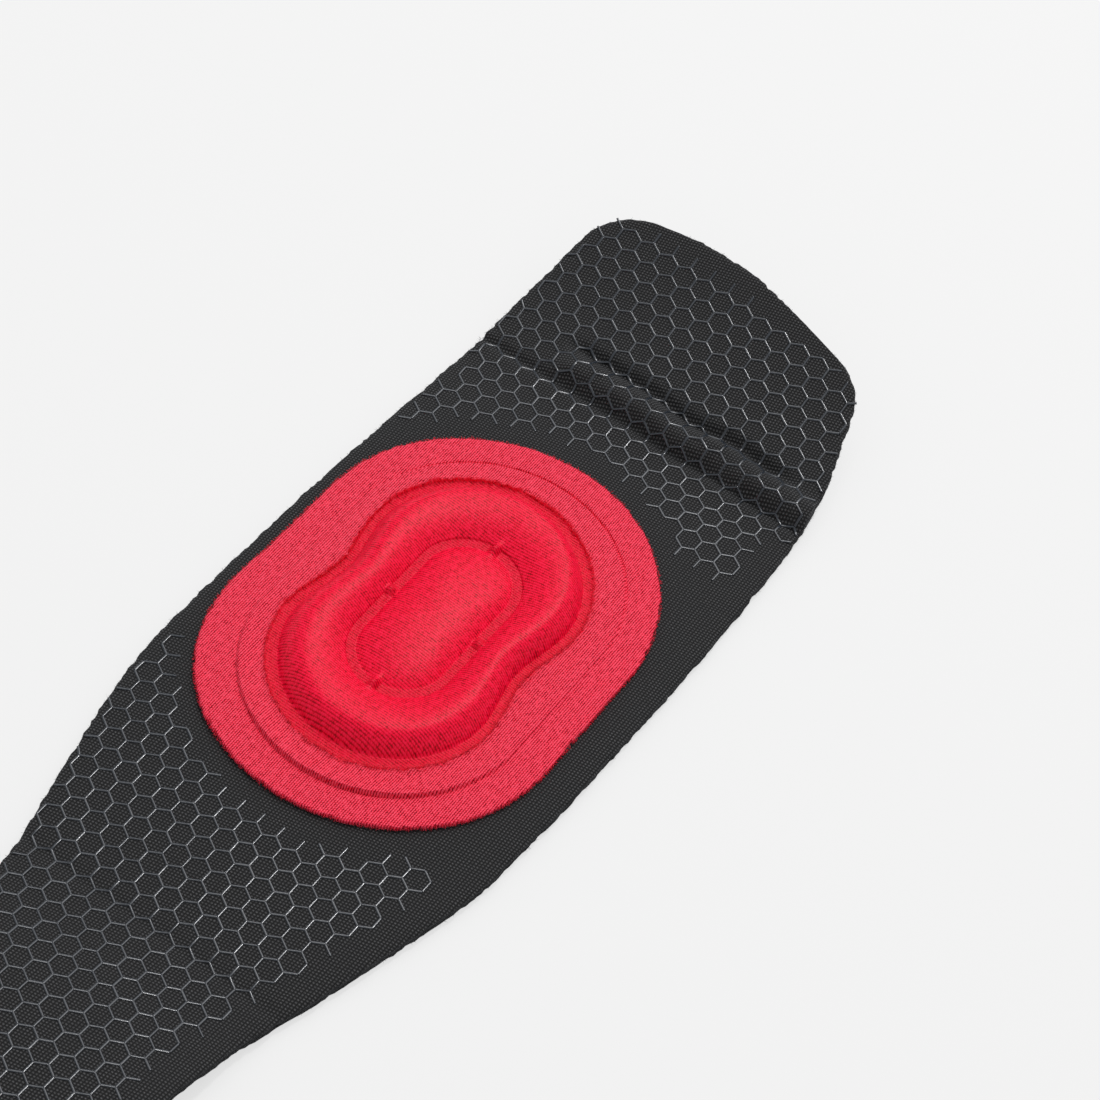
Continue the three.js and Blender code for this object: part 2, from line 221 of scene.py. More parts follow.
# Moulded core, groove and ring: heights, how round their sections are, and where the ring's
# crest runs as a share of its breadth
CORE_TOP = SEAT + CORE_HEIGHT
GROOVE_LEVEL = SEAT + 0.95
RING_TOP = SEAT + RING_HEIGHT
RING_INNER_LEVEL = SEAT + 1.35
RING_FOOT_LEVEL = FLOOR + 0.25
GROOVE_LIP = (1.86, 2.0)
RING_CREST_AT_SIDES = 0.5
RING_CREST_AT_TAIL_END = 0.6
RING_CREST_AT_FLAP_END = 0.74
RING_INNER_POWER = 2.1
RING_OUTER_POWER = 2.3
# The core's fall to the groove: shares of it, and the power of each
CORE_FALL = [(0.82, 2.3), (0.18, 10)]

# Section of the pad outside the ring: radial step and height
OUTER_SECTION = np.array([
    [3.0, RING_FOOT_LEVEL],
    [3.06, FLOOR + 0.06],
    [3.2, FLOOR],
    [3.72, FLOOR],
    [3.86, FLOOR + 0.16],
    [3.95, FLOOR + 0.85],
    [4.06, FLOOR + 0.78],
    [4.6, FLOOR + 0.36],
    [4.9, FLOOR + 0.22],
    [5.3, FLOOR + 0.08],
    [6.0, FLOOR],
    [6.9, FLOOR],
    [6.99, FLOOR - 0.12],
    [7.0, FLOOR - 0.35],
])
# Soft roll that the step forms, over the section: radial step and height
STEP_ROLL = np.array([
    [4.05, 0.0],
    [4.3, 0.08],
    [4.55, 0.26],
    [4.76, 0.46],
    [4.9, 0.6],
    [5.08, 0.72],
    [5.3, 0.56],
    [5.48, 0.22],
    [5.62, 0.02],
    [5.75, 0.0],
    [6.0, 0.0],
])

# What changes round the pad has a middle angle and how many degrees it spreads to each side.
# The step's roll is highest toward the tail, lower toward the flap and lowest at the long sides
TAIL_ROLL = (186, 56)
TAIL_ROLL_LEAST = 0.26
FLAP_ROLL = (5, 55)
FLAP_ROLL_MOST = 0.36
# Crease at the roll's foot: radial step, width and depth, then its stretches with their shares
STEP_CREASE_AT = 5.55
STEP_CREASE_WIDTH = 0.27
STEP_CREASE_DEPTH = 0.5
STEP_CREASES = [(0, 46, 1.0), (196, 46, 0.6)]
# The platform's inner lip: where it is highest, its share where it is lowest, and where it ends
LIP_HIGHEST = (55, 80)
LIP_LEAST = 0.18
LIP_OUTER_END = (4.3, 4.9)
# Where the patch is cut wider or narrower than its oval, with the distance outwards, and how much
# of it the platform and the foot of the step follow
PATCH_CUT = [(142, 26, 1.6), (18, 28, -0.9), (-158, 26, -0.7)]
PLATFORM_CUT = 0.4
STEP_FOOT_CUT = 0.45

# Places where the groove is bridged: at its ends by a pinched ridge, at its sides by a soft puff.
# Their tops fall off between these shares of the half width or radius
BRIDGE_RIDGES = [(17.9, 0.8), (-17.7, 0.2)]
BRIDGE_PUFFS = [(-0.4, 9.6), (0.1, -8.6)]
RIDGE_HALF_WIDTH = 0.7
RIDGE_REACH = 1.5
RIDGE_TOP = SEAT + 2.25
RIDGE_FALL = (0.3, 1.5)
PUFF_RADIUS = 1.25
PUFF_TOP = SEAT + 1.8
PUFF_FALL = (0.15, 1.2)

# Zones of the pad in radial steps: the line of the weld, where the floors of channel and groove
# begin and end, where the moulded cloth ends, the uneven cut edge, and how far from it in steps
# the ripples begin
WELD_LINE = 4.02
WELD_WIDTH = 0.12
CHANNEL_FLOOR = ((2.98, 3.12), (3.8, 3.95))
GROOVE_FLOOR = ((1.0, 1.12), (1.88, 2.0))
MOULDED_END = (3.85, 4.02)
CUT_EDGE_ZONE = (6.93, 7.0)
STILL_EDGE_ZONE = (0.0, 0.3)

# Grid of the pad: steps round it, spans of radial steps with their counts, and its underside
PAD_TURNS = 560
PAD_SPANS = [
    (0.02, 0.7, 16),
    (0.7, 1.1, 16),
    (1.1, 1.8, 8),
    (1.8, 2.1, 10),
    (2.1, 2.7, 20),
    (2.7, 3.0, 14),
    (3.0, 3.2, 6),
    (3.2, 3.7, 6),
    (3.7, 4.15, 14),
    (4.15, 4.8, 8),
    (4.8, 5.9, 18),
    (5.9, 6.9, 10),
]
PAD_LAST_SPAN = (6.9, 7.0, 4)
PAD_UNDER_LEVEL = 0.12
PAD_UNDER_RINGS = (0.999, 0.5)

# Hexagon grip print: its lines, and the stops and half section of a line in shares of its size
HEX_PITCH = 4.0
HEX_ROWS = 12
HEX_SPARE_COLUMNS = 2
LINE_WIDTH = 0.46
LINE_WIDTH_SPREAD = (0.85, 1.1)
LINE_HEIGHT = 0.16
LINE_SEED = 41
LINE_STOPS = (0, 0.05, 0.5, 0.95, 1)
LINE_HALF_SECTION = [(0.24, 0.94), (0.45, 0.7), (0.5, -0.15)]

# Where the print stops
PAD_CLEARANCE = 4.6
BESIDE_PAD = 4
TAIL_SIDE_STARTS = 6
FOLD_SIDE_STARTS = 4
RIGHT_CLEARANCE = 5.2
RIGHT_CLEARANCE_AT_FOLD = 0.9 * RIGHT_CLEARANCE
LEFT_CLEARANCE_AT_FOLD = 1.5
OVER_THE_EDGE = -0.4
END_CLEARANCE_LEFT = 3.2
END_CLEARANCE_RIGHT = 4.4
END_CORNER = 6
END_CORNER_SHARE = 0.4
HOOK_CLEARANCE = 4
LEAST_TO_EDGE = 0.3
LINE_INSET = 0.2

# Drift of the stretched print, as the station, then the shift along and across the band at its
# middle, and how much these change per millimetre across
PRINT_DRIFT = np.array([
    [-110, 0.2, 1.25, 0, 0],
    [-50, 0.0, 1.25, 0, 0],
    [30, -0.5, -0.1, 0.02, 0.02],
    [48, -0.72, -0.65, 0.028, 0.02],
    [62, -1.9, -0.5, 0.05, 0.05],
    [82, -2.3, -0.1, 0.055, 0.07],
    [96, -2.4, 0.1, 0.055, 0.07],
])
DRIFT_ROUNDS = 3

# Grid of the hook sheet, and the outline of a hook: along the band, and the share of its height
HOOK_CORNER_STEPS = 8
HOOK_STEPS = 20
HOOK_COLUMNS = 17
HOOK_OUTLINE = np.array([[-0.22, 0], [0.22, 0], [0.18, 0.55], [0.5, 0.92], [0.2, 1.0], [-0.14, 0.9]])
HOOK_BASE = SEAT_GAP + HOOK_SHEET
HOOK_TOP = SEAT_GAP + HOOK_THICKNESS

# Loose fibres: spread of their roots, reach, lean and rise, their bend, and the share of the length
# with the share of the thickness at each stop
FIBRE_ROOT_SPREAD = 0.1
FIBRE_REACH = (0.3, 1.0)
FIBRE_LEAN = 0.8
FIBRE_RISE = (-0.35, 0.7)
FIBRE_BEND = 0.25
FIBRE_STOPS = ((0, 1), (0.45, 0.8), (1, 0.25))
FIBRE_SIDES = np.radians([90, 210, 330])

low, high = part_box("core_cushion")
PAD_CENTRE = np.array([(low.x + high.x) / 2 / MM, (low.y + high.y) / 2 / MM - CORE_SHIFT, 0.0])


# Small helpers

def smooth_step(start, end, value):
    share = np.clip((value - start) / (end - start), 0, 1)
    return share * share * (3 - 2 * share)


def bell(distance, half_width):
    return np.exp(-((distance / half_width) ** 2))


def unit(vectors):
    return vectors / np.maximum(np.linalg.norm(vectors, axis=-1, keepdims=True), TINY)


def value_noise(points, cell, seed):
    """Smooth noise from -1 to 1 at rows of 2-D points, the same on each run."""
    table = np.random.default_rng(seed).uniform(-1, 1, (NOISE_CELLS, NOISE_CELLS))
    place = np.asarray(points) / cell
    base = np.floor(place).astype(int)
    part = place - base
    part = part * part * (3 - 2 * part)

    def corner(i, j):
        return table[(base[..., 0] + i) % NOISE_CELLS, (base[..., 1] + j) % NOISE_CELLS]

    near = corner(0, 0) * (1 - part[..., 0]) + corner(1, 0) * part[..., 0]
    far = corner(0, 1) * (1 - part[..., 0]) + corner(1, 1) * part[..., 0]
    return near * (1 - part[..., 1]) + far * part[..., 1]


def layered_noise(points, layers):
    return sum(value_noise(points, cell, seed) * height for cell, height, seed in layers)


def hermite(u, span, low, values, slopes):
    """Cubic at the share u of spans that begin at the rows low of a curve."""
    high = low + 1
    return (
        (2 * u**3 - 3 * u**2 + 1) * values[low]
        + (u**3 - 2 * u**2 + u) * slopes[low] * span
        + (3 * u**2 - 2 * u**3) * values[high]
        + (u**3 - u**2) * slopes[high] * span
    )


def curve_through(at, values, station):
    """Smooth curve through rows of stations and values, as the CAD source draws it."""
    low = np.clip(np.searchsorted(at, station), 1, len(at) - 1) - 1
    after = np.minimum(np.arange(len(at)) + 1, len(at) - 1)
    before = np.maximum(np.arange(len(at)) - 1, 0)
    slopes = (values[after] - values[before]) / (at[after] - at[before])
    span = at[low + 1] - at[low]
    return hermite(np.clip((station - at[low]) / span, 0, 1), span, low, values, slopes)


def eased_section(section, steps):
    """Height of a section at each step, without overshoot between its rows."""
    at, height = section[:, 0], section[:, 1]
    gap = np.diff(at)
    grade = np.diff(height) / gap
    same = grade[:-1] * grade[1:] > 0
    mean = 2 * grade[:-1] * grade[1:] / np.where(same, grade[:-1] + grade[1:], 1)
    slopes = np.zeros(len(at))
    slopes[1:-1] = np.where(same, mean, 0)
    steps = np.clip(steps, at[0], at[-1])
    low = np.clip(np.searchsorted(at, steps, side="right"), 1, len(at) - 1) - 1
    return hermite((steps - at[low]) / gap[low], gap[low], low, height, slopes)


# Skin side of the band

def walked_path(direction, end):
    """Stations with their x and z on the smooth skin side, from the pad's middle to one end."""
    count = int(abs(end) / PATH_STEP) + PATH_SPARE
    middle = direction * (np.arange(count) + 0.5) * PATH_STEP
    slope = np.radians(np.interp(middle, SLOPE_AT, SLOPE))
    x = np.concatenate([[0], np.cumsum(direction * np.cos(slope) * PATH_STEP)])
    z = np.concatenate([[0], np.cumsum(direction * np.sin(slope) * PATH_STEP)])
    return direction * np.arange(count + 1) * PATH_STEP, x, z + BAND_THICKNESS


flap_path = walked_path(1, FLAP_END)
tail_path = walked_path(-1, TAIL_END)
PATH_AT, PATH_X, PATH_Z = (
    np.concatenate([back[:0:-1], ahead]) for back, ahead in zip(tail_path, flap_path)
)


def skin_point(station, across, lift):
    """Points that stand off the smooth skin side, in millimetres in the row frame."""
    slope = np.radians(np.interp(station, SLOPE_AT, SLOPE))
    x = np.interp(station, PATH_AT, PATH_X) - np.sin(slope) * lift
    z = np.interp(station, PATH_AT, PATH_Z) + np.cos(slope) * lift
    return np.stack(np.broadcast_arrays(x, across, z), -1) + PAD_CENTRE


def corner_cut(distance, radius):
    """How far a round corner stays inside a side, at a distance from the corner's end."""
    inside = np.maximum(radius - distance, 0)
    return radius - np.sqrt(np.maximum(radius**2 - inside**2, 0))


def half_width(station, left):
    column, reach = (1, LEFT_REACH) if left else (2, RIGHT_REACH)
    width = reach * curve_through(OUTLINE_AT, OUTLINE[:, column], station)
    width = width - corner_cut(FLAP_END - station, FLAP_CORNER)
    return width - corner_cut(station - TAIL_END, TAIL_CORNER)


def bowed(station, share):
    """Stations moved back toward the sides of the flap, so that its end is bowed."""
    past_fold = np.maximum(station - FOLD_AT, 0) / FLAP_LENGTH
    return station - FLAP_BOW * past_fold**3 * (share - FLAP_BOW_CENTRE) ** 2


def back_groove(station):
    return BACK_GROOVE_DEPTH * bell(station - FOLD_AT - BACK_GROOVE_OFFSET, BACK_GROOVE_HALF_WIDTH)


def pad_distance(station, across):
    """Distance outwards from the straight-sided oval of the pad's edge."""
    past = np.maximum(np.abs(station) - (PAD[0] - PAD[1]), 0)
    return np.hypot(past, across) - PAD[1]


def fold_relief(station, across):
    """Height of the fold, roll and grooves, with the roll's lumps and the cloth's soft waves."""
    place = np.stack(np.broadcast_arrays(station, across), -1)
    wander = layered_noise(place * [0, 1], ROLL_WANDER)
    roll_end = LEFT_REACH * ROLL_END
    roll_fade = 1 - smooth_step(roll_end - 2 * ROLL_HALF_WIDTH, roll_end + ROLL_HALF_WIDTH, across)
    from_roll = np.abs(station - FOLD_AT - ROLL_OFFSET - wander)
    roll = bell(from_roll**ROLL_POWER, ROLL_HALF_WIDTH**ROLL_POWER) * roll_fade
    roll = ROLL_HEIGHT * (1 + layered_noise(place, ROLL_LUMPS)) * roll
    fold = FOLD_GROOVE_DEPTH * bell(station - FOLD_AT - wander * FOLD_WANDER, FOLD_GROOVE_HALF_WIDTH)
    crease = CREASE_DEPTH * bell(station - REST_END - CREASE_OFFSET, CREASE_HALF_WIDTH)
    fade_start, fade_end = (share * RIGHT_REACH for share in BACK_GROOVE_FADE)
    back = back_groove(station - wander) * roll_fade * smooth_step(fade_start, fade_end, across)
    waves = layered_noise(place, CLOTH_WAVES)
    waves = waves * smooth_step(*WAVES_FROM_PAD, pad_distance(station, across))
    return roll - fold - crease - back + waves


# Meshes

def make_object(name, points, faces, uv=None, marks=None, smooth=True):
    """Mesh object from points in millimetres. marks are named numbers of each point, and smooth
    is one answer for all faces or one for each."""
    mesh = bpy.data.meshes.new(name)
    mesh.from_pydata((np.asarray(points) * MM).tolist(), [], faces)
    mesh.update()
    if uv is not None:
        layer = mesh.uv_layers.new(name="cloth")
        corners = np.empty(len(mesh.loops), dtype=int)
        mesh.loops.foreach_get("vertex_index", corners)
        layer.data.foreach_set("uv", (np.asarray(uv)[corners] / MAP_UNIT).astype(float).ravel())
    for mark, values in (marks or {}).items():
        attribute = mesh.attributes.new(mark, "FLOAT", "POINT")
        attribute.data.foreach_set("value", np.asarray(values, dtype=float))
    rounded = np.broadcast_to(np.asarray(smooth, dtype=bool), len(faces))
    mesh.polygons.foreach_set("use_smooth", rounded)
    made = bpy.data.objects.new(name, mesh)
    bpy.context.scene.collection.objects.link(made)
    return made


def grid_faces(rows, columns, first=0, turned=False, closed=False):
    """Quads of a grid of points, row after row. closed joins its last column to its first."""
    steps = columns if closed else columns - 1
    i, j = np.meshgrid(np.arange(rows - 1), np.arange(steps), indexing="ij")
    a = first + i * columns + j
    b = first + i * columns + (j + 1) % columns
    quads = np.stack([a, a + columns, b + columns, b], -1).reshape(-1, 4)
    return (quads[:, ::-1] if turned else quads).tolist()


def border_loop(rows, columns):
    """Indices round the edge of a grid of points."""
    index = np.arange(rows * columns).reshape(rows, columns)
    return np.concatenate([index[0, :-1], index[:-1, -1], index[-1, :0:-1], index[:0:-1, 0]])


def wall_faces(upper, lower):
    """Quads between two closed loops of indices."""
    return np.stack([upper, np.roll(upper, -1), np.roll(lower, -1), lower], -1).tolist()


def tube_faces(stops, size):
    """Faces of a closed tube through rings of points: the quads along it, then its two caps."""
    rings = np.arange(stops * size).reshape(stops, size)
    faces = []
    for here, after in zip(rings[:-1], rings[1:]):
        faces += wall_faces(here, after)
    return faces + [rings[0, ::-1].tolist(), rings[-1].tolist()]


def repeated(faces, size, copies):
    """Faces for copies of a shape that has a number of points, its size."""
    return [[q + k * size for q in face] for k in range(copies) for face in faces]


def crowded(radius, steps):
    """Distances from an end up to the radius of its corners, closest together at the end."""
    return radius * (1 - np.cos(np.arange(steps) / steps * math.pi / 2))


# Band

def band_stations():
    fine_start = FOLD_AT - FINE_BEFORE_FOLD
    fine_end = FOLD_AT + FINE_AFTER_FOLD
    return np.concatenate([
        TAIL_END + crowded(TAIL_CORNER, TAIL_CORNER_STEPS),
        np.arange(TAIL_END + TAIL_CORNER, fine_start, BAND_STEP),
        np.arange(fine_start, fine_end, FOLD_STEP),
        np.arange(fine_end, FLAP_END - FLAP_CORNER, BAND_STEP),
        (FLAP_END - crowded(FLAP_CORNER, FLAP_CORNER_STEPS))[::-1],
    ])


def edge_directions(edge):
    """Directions out of a closed outline at its points, and the distance run along it."""
    tangent = np.roll(edge, -1, 0) - np.roll(edge, 1, 0)
    outward = unit(np.stack([tangent[:, 1], -tangent[:, 0]], -1))
    if (outward * (edge - edge.mean(0))).sum() < 0:
        outward = -outward
    return outward, np.cumsum(np.linalg.norm(tangent, axis=1)) / 2


def make_band():
    """The band, its flat area, and its cut edge with the directions out of it."""
    stations = band_stations()
    rows = len(stations)
    station, share = np.meshgrid(stations, np.linspace(-1, 1, BAND_COLUMNS), indexing="ij")
    across = np.where(share > 0, share * half_width(station, True), share * half_width(station, False))
    place = np.stack([station, across], -1)
    jag = layered_noise(place, EDGE_JAG)
    side = np.abs(share) ** SIDE_ZONE_POWER
    end = bell(FLAP_END - station, END_ZONE) + bell(station - TAIL_END, END_ZONE)
    across = across + np.sign(share) * side * jag
    along = bowed(station, share) + end * jag
    rounding = EDGE_ROUNDING * np.maximum(side, end)
    top = skin_point(along, across, fold_relief(station, across) - rounding)
    under_lift = -BAND_THICKNESS - UNDER_BULGE * back_groove(station) + rounding
    under = skin_point(along, across, under_lift + np.abs(layered_noise(place, UNDER_WAVES)))

    count = rows * BAND_COLUMNS
    flat = np.stack([along, across], -1).reshape(-1, 2)
    points = [top.reshape(-1, 3), under.reshape(-1, 3)]
    uv = [flat, flat]
    zone = [np.full(count, TOP_ZONE), np.full(count, UNDER_ZONE)]
    faces = grid_faces(rows, BAND_COLUMNS) + grid_faces(rows, BAND_COLUMNS, first=count, turned=True)
    loop = border_loop(rows, BAND_COLUMNS)
    upper, lower = points[0][loop], points[1][loop]
    edge = flat[loop]
    outward, run = edge_directions(edge)
    rings = [loop]
    first = 2 * count
    for depth, bulge in WALL_RINGS:
        noise_row = np.full_like(run, depth * WALL_NOISE_STRIDE)
        rough = layered_noise(np.stack([run, noise_row], -1), WALL_ROUGHNESS)
        ring = upper * (1 - depth) + lower * depth
        ring[:, :2] += outward * (bulge + rough)[:, None]
        points.append(ring)
        uv.append(edge + outward * depth * BAND_THICKNESS)
        zone.append(np.full(len(ring), WALL_ZONE))
        rings.append(first + np.arange(len(ring)))
        first += len(ring)
    rings.append(loop + count)
    for here, below in zip(rings[:-1], rings[1:]):
        faces += wall_faces(here, below)
    marks = {"zone": np.concatenate(zone)}
    band = make_object("band_cloth", np.concatenate(points), faces, np.concatenate(uv), marks)
    widths = half_width(stations, True) + half_width(stations, False)
    area = float(((widths[1:] + widths[:-1]) / 2 * np.diff(stations)).sum()) * MM**2
    return band, area, edge, outward


# Pad

def oval_radius(loop, angle):
    """Distance from the middle to the edge of a shape with straight sides and half-round ends."""
    c, s = np.abs(np.cos(angle)), np.abs(np.sin(angle))
    straight = loop[0] - loop[1]
    side = loop[1] / np.maximum(s, TINY)
    end = straight * c + np.sqrt(np.maximum(loop[1] ** 2 - (straight * s) ** 2, 0))
    return np.where(side * c <= straight, side, end)


def swell(angle, middle, spread):
    """1 at the middle angle, falling off to both sides. Only angle is in radians."""
    apart = np.abs((np.degrees(angle) - middle + 540) % 360 - 180)
    return bell(apart, spread)


def moulded_section(steps, angle):
    """Height of the core, groove and ring at each radial step and angle."""
    crest_at_end = np.where(np.cos(angle) > 0, RING_CREST_AT_FLAP_END, RING_CREST_AT_TAIL_END)
    crest = RING_CREST_AT_SIDES + (crest_at_end - RING_CREST_AT_SIDES) * np.cos(angle) ** 2
    step = steps[:, None]
    fall = sum(share * np.clip(step, 0, 1) ** power for share, power in CORE_FALL)
    core = CORE_TOP - (CORE_TOP - GROOVE_LEVEL) * fall
    groove = GROOVE_LEVEL + (RING_INNER_LEVEL - GROOVE_LEVEL) * smooth_step(*GROOVE_LIP, step)
    part = np.clip(step - GROOVE_LOOP, 0, 1)
    inner = np.clip((crest - part) / crest, 0, 1) ** RING_INNER_POWER
    outer = np.clip((part - crest) / (1 - crest), 0, 1) ** RING_OUTER_POWER
    ring = RING_TOP - (RING_TOP - RING_INNER_LEVEL) * inner - (RING_TOP - RING_FOOT_LEVEL) * outer
    return np.where(step < CORE_LOOP, core, np.where(step < GROOVE_LOOP, groove, ring))


def pad_steps():
    """Radial steps of the pad's rows: more of them where the section bends."""
    rows = [np.linspace(start, end, count, endpoint=False) for start, end, count in PAD_SPANS]
    return np.concatenate(rows + [np.linspace(*PAD_LAST_SPAN)])


def pad_loops(angle):
    """Points of the pad's loops at each angle, from the middle out."""
    around = np.stack([np.cos(angle), np.sin(angle)], -1)
    patch_cut = sum(outwards * swell(angle, middle, spread) for middle, spread, outwards in PATCH_CUT)

    def loop(size, waist=0.0, shift=0.0, cut=0.0):
        points = around * (oval_radius(size, angle) + cut * patch_cut)[:, None]
        points[:, 1] += shift - waist * bell(points[:, 0], WAIST_LENGTH) * np.sin(angle)
        return points

    return np.stack([
        around * 0 + [0, CORE_SHIFT],
        loop(CORE, shift=CORE_SHIFT),
        loop(GROOVE_EDGE, shift=CORE_SHIFT),
        loop(RING, WAIST_DEPTH, RING_SHIFT),
        loop(CHANNEL, WAIST_DEPTH, CHANNEL_SHIFT),
        loop(PLATFORM, cut=PLATFORM_CUT),
        loop(STEP_FOOT, cut=STEP_FOOT_CUT),
        loop(PAD, cut=1.0),
    ])


def pad_height(steps, angle):
    """Height at each radial step and angle, without the bridges and the cloth's unevenness."""
    lip_share = LIP_LEAST + (1 - LIP_LEAST) * swell(angle, *LIP_HIGHEST)
    near_lip = (1 - smooth_step(*LIP_OUTER_END, steps))[:, None]
    outside = eased_section(OUTER_SECTION, steps)[:, None]
    outside = FLOOR + (outside - FLOOR) * (1 - near_lip * (1 - lip_share))
    height = np.where(steps[:, None] < RING_LOOP, moulded_section(steps, angle), outside)
    tail_side = TAIL_ROLL_LEAST + (1 - TAIL_ROLL_LEAST) * swell(angle, *TAIL_ROLL)
    flap_side = FLAP_ROLL_MOST * swell(angle, *FLAP_ROLL)
    height = height + eased_section(STEP_ROLL, steps)[:, None] * np.maximum(tail_side, flap_side)
    creased = sum(share * swell(angle, middle, spread) for middle, spread, share in STEP_CREASES)
    crease = bell(steps - STEP_CREASE_AT, STEP_CREASE_WIDTH)[:, None] * creased
    return height - STEP_CREASE_DEPTH * crease


def bridged(height, flat):
    """Height with the ridges and puffs that bridge the groove."""
    x, y = flat[..., 0], flat[..., 1]
    for s, t in BRIDGE_RIDGES:
        aside = np.abs(y - t) / RIDGE_HALF_WIDTH
        ridge = (1 - smooth_step(*RIDGE_FALL, aside)) * bell(x - s, RIDGE_REACH)
        height = height + np.maximum(RIDGE_TOP - height, 0) * ridge
    for s, t in BRIDGE_PUFFS:
        puff = 1 - smooth_step(*PUFF_FALL, np.hypot(x - s, y - t) / PUFF_RADIUS)
        height = height + np.maximum(PUFF_TOP - height, 0) * puff
    return height


def floor_zone(steps, rise, fall):
    return smooth_step(*rise, steps) * (1 - smooth_step(*fall, steps))


def pad_mark(middle, rows):
    """Numbers of the pad's points, from those of its middle and its rows. The underside has 0."""
    around = np.repeat(rows.clip(0, 1), PAD_TURNS)
    return np.concatenate([[middle], around, np.zeros(len(PAD_UNDER_RINGS) * PAD_TURNS + 1)])


def make_pad():
    """The pad's moulded cloth, and the points of its loops."""
    angle = np.arange(PAD_TURNS) / PAD_TURNS * 2 * math.pi
    loops = pad_loops(angle)
    steps = pad_steps()
    low = np.minimum(steps.astype(int), PAD_LOOP - 1)
    part = (steps - low)[:, None, None]
    flat = loops[low] * (1 - part) + loops[low + 1] * part
    height = bridged(pad_height(steps, angle), flat)

    weld = bell(steps - WELD_LINE, WELD_WIDTH)
    hollow = floor_zone(steps, *CHANNEL_FLOOR) + floor_zone(steps, *GROOVE_FLOOR)
    moulded = 1 - smooth_step(*MOULDED_END, steps)
    soft = smooth_step(*STILL_EDGE_ZONE, np.abs(steps - PAD_LOOP))
    height = height + layered_noise(flat, PAD_RIPPLE) * soft[:, None]
    height = height + layered_noise(flat, HOLLOW_GRAIN) * hollow[:, None]
    height = height + layered_noise(flat, WELD_LUMPS) * weld[:, None]
    wander = layered_noise(flat, WELD_WANDER) * weld[:, None]
    flat = flat + unit(flat) * wander[..., None]
    jag = layered_noise(flat[-1:], PATCH_JAG) * smooth_step(*CUT_EDGE_ZONE, steps)[:, None]
    flat = flat + unit(flat) * jag[..., None]

    middle = np.array([[0, CORE_SHIFT, height[0].mean()]])
    top = np.concatenate([flat, height[..., None]], -1).reshape(-1, 3)
    level = np.full((PAD_TURNS, 1), PAD_UNDER_LEVEL)
    under = [np.concatenate([flat[-1] * share, level], -1) for share in PAD_UNDER_RINGS]
    points = np.concatenate([middle, top, *under, [[0, 0, PAD_UNDER_LEVEL]]])
    rows = len(steps) + len(PAD_UNDER_RINGS)
    last = len(points) - 1
    base = last - PAD_TURNS
    around = [(k, (k + 1) % PAD_TURNS) for k in range(PAD_TURNS)]
    faces = [[0, 1 + k, 1 + after] for k, after in around]
    faces += grid_faces(rows, PAD_TURNS, first=1, closed=True)
    faces += [[last, base + after, base + k] for k, after in around]
    marks = {"weld": pad_mark(0, weld), "hollow": pad_mark(0, hollow), "moulded": pad_mark(1, moulded)}
    place = points + PAD_CENTRE + [0, 0, BAND_THICKNESS]
    return make_object("pad_cover", place, faces, points[:, :2], marks), loops


# Grip print

def ribs(starts, ends, width, height):
    """Closed low ribs between points on the skin side: points, faces, and which faces are round."""
    side = unit(ends - starts)
    side = np.stack([-side[:, 1], side[:, 0]], -1)
    mirrored = [(-across, rise) for across, rise in LINE_HALF_SECTION[::-1]]
    section = mirrored + [(0, 1)] + LINE_HALF_SECTION
    points = []
    for share in LINE_STOPS:
        stop = starts + (ends - starts) * share
        relief = fold_relief(stop[:, 0], stop[:, 1])
        for across, rise in section:
            place = stop + side * across * width[:, None]
            points.append(skin_point(place[:, 0], place[:, 1], relief + rise * height))
    own = tube_faces(len(LINE_STOPS), len(section))
    faces = repeated(own, len(points), len(starts))
    rounded = [len(face) == 4 for face in faces]
    return np.stack(points, 1).reshape(-1, 3), faces, rounded


def print_ends():
    """Starts and ends of the hexagon edges, before any is left out."""
    step = HEX_PITCH * math.sqrt(3) / 2
    reach = HEX_PITCH / math.sqrt(3)
    turns = np.radians([0, 60, 120, 180])
    first_column = int(TAIL_END / step) - HEX_SPARE_COLUMNS
    last_column = int(FLAP_END / step) + HEX_SPARE_COLUMNS
    starts, ends = [], []
    for column in range(first_column, last_column + 1):
        for row in range(-HEX_ROWS, HEX_ROWS + 1):
            s = column * step
            t = row * HEX_PITCH + (column % 2) * HEX_PITCH / 2
            corners = [(s + reach * math.cos(turn), t + reach * math.sin(turn)) for turn in turns]
            starts += corners[:-1]
            ends += corners[1:]
    return np.array(starts), np.array(ends)


def warped(flat):
    """Print points moved by the drift of the stretched cloth."""
    place = flat.copy()
    for _ in range(DRIFT_ROUNDS):
        s, t = place[:, 0], place[:, 1]
        along, across, along_rate, across_rate = (
            np.interp(s, PRINT_DRIFT[:, 0], column) for column in PRINT_DRIFT[:, 1:].T
        )
        place = flat + np.stack([along + along_rate * t, across + across_rate * t], -1)
    return place


